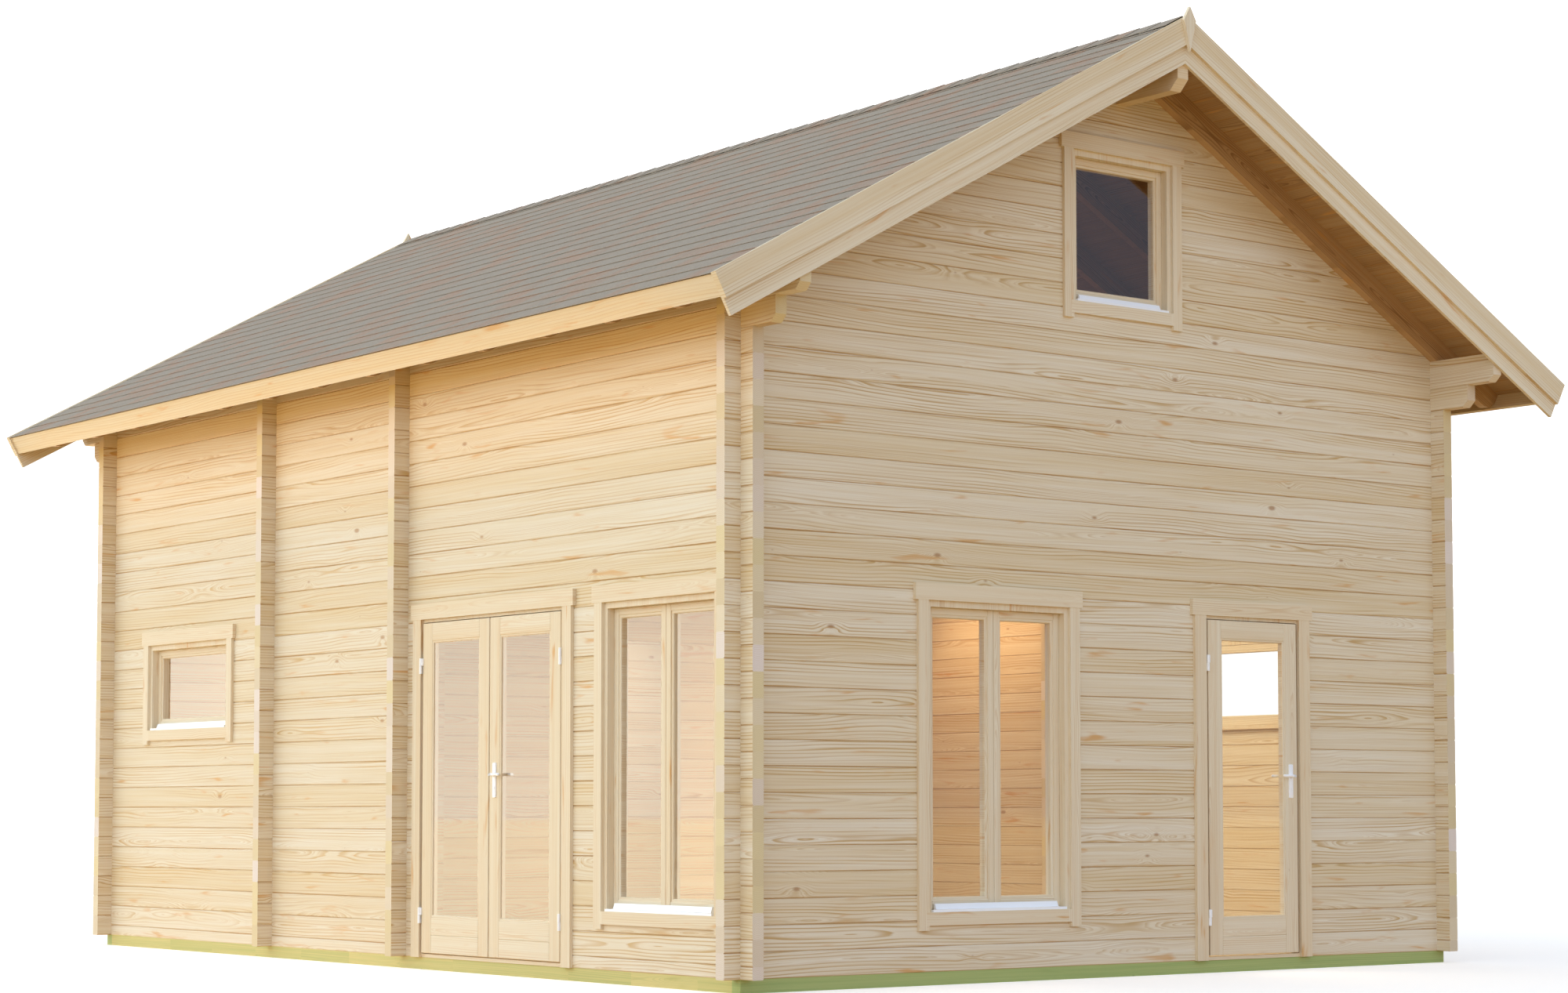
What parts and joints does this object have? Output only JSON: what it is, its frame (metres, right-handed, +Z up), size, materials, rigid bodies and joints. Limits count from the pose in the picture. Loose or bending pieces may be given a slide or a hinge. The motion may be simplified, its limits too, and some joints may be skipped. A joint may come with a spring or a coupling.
{
  "type": "notched-log holiday cottage",
  "caption": "Gabled holiday cottage of notched logs on treated sill beams, with a shingled roof on rafters, a loft, cased windows and outward-opening glazed doors.",
  "frame": {"origin": "on the ground, under the middle of the house", "axes": "-Y towards the front gable with the single door, -X towards the side with the double door, +Z up"},
  "size_m": [6.3928, 8.288, 5.2844],
  "materials": {
    "timber": "planed, unpainted spruce",
    "boards": "planed, unpainted spruce",
    "treated": "green pressure-treated",
    "shingles": "mineral-grained bitumen",
    "joinery": "planed, unpainted spruce",
    "glass": "clear double glazing",
    "white_metal": "white enamel"
  },
  "bodies": {
    "house": {"front_wall_left": "timber", "front_wall_right": "timber", "front_wall_upper": "timber", "left_wall_front": "timber", "left_wall_rear": "timber", "left_wall_upper": "timber", "right_wall": "timber", "back_wall": "timber", "portal_wall": "timber", "cross_wall": "timber", "floor_boards": "boards", "loft_floor": "boards", "ridge_purlin": "boards", "rafters": "boards", "eaves_boards": "boards", "left_roof_boards": "boards", "right_roof_boards": "boards", "fascias": "boards", "bargeboards": "boards", "cover_boards": "boards", "finials": "boards", "sill_beams_long": "treated", "sill_beams_short": "treated", "floor_joists": "treated", "left_shingles": "shingles", "right_shingles": "shingles", "tall_window_frames": "joinery", "small_window_frames": "joinery", "gable_window_frames": "joinery", "window_sashes": "joinery", "front_door_frame": "joinery", "garden_door_frame": "joinery", "window_panes": "glass", "window_sills": "white_metal", "door_hinges": "white_metal"},
    "front_door": {"front_door_leaf": "joinery", "front_door_pane": "glass", "front_door_handle": "white_metal"},
    "garden_door_near": {"garden_near_leaf": "joinery", "garden_near_pane": "glass", "garden_near_handle": "white_metal"},
    "garden_door_far": {"garden_far_leaf": "joinery", "garden_far_pane": "glass"}
  },
  "joints": [
    {"name": "front_door_hinge", "type": "hinge", "parent": "house", "child": "front_door", "pos_m": [0.631, -3.624, 1.04], "axis": [0, 0, -1], "range_deg": [0, 110]},
    {"name": "garden_near_hinge", "type": "hinge", "parent": "house", "child": "garden_door_near", "pos_m": [-2.674, -2.009, 1.04], "axis": [0, 0, 1], "range_deg": [0, 110]},
    {"name": "garden_far_hinge", "type": "hinge", "parent": "house", "child": "garden_door_far", "pos_m": [-2.674, -0.557, 1.04], "axis": [0, 0, -1], "range_deg": [0, 110]}
  ]
}
